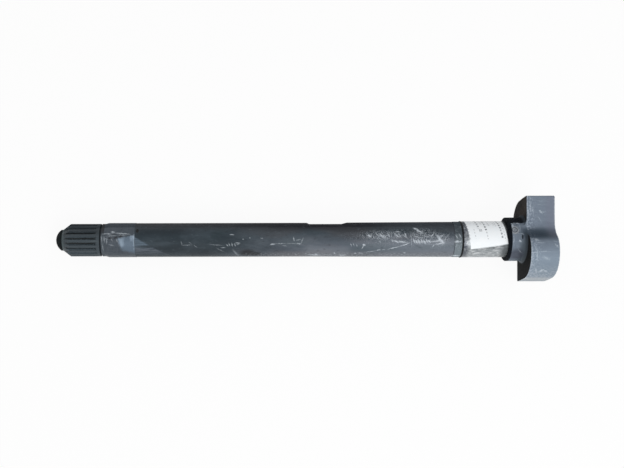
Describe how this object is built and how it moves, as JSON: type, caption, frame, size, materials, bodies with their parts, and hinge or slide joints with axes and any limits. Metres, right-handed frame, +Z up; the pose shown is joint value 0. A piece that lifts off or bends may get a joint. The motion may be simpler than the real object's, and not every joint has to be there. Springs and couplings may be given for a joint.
{
  "type": "brake camshaft",
  "caption": "Steel shaft with a splined end, ground journals, a collar and an S-shaped cam head that spreads the shoes of a drum brake.",
  "frame": {"origin": "on the shaft's axis, in the middle of the journal beside the spline", "axes": "+X along the shaft from the spline to the cam head; +Z up as the part lies on a floor, the tip of its lower lobe towards -Y"},
  "size_m": [0.5771, 0.0926, 0.0676],
  "materials": {
    "forged_steel": "dark oxide, oiled, with ground journals",
    "ring_rubber": "matt black",
    "label_paper": "white paper with faint grey marks"
  },
  "bodies": {
    "root": {"camshaft": "forged_steel", "sealing_ring": "ring_rubber", "label": "label_paper"}
  },
  "joints": []
}
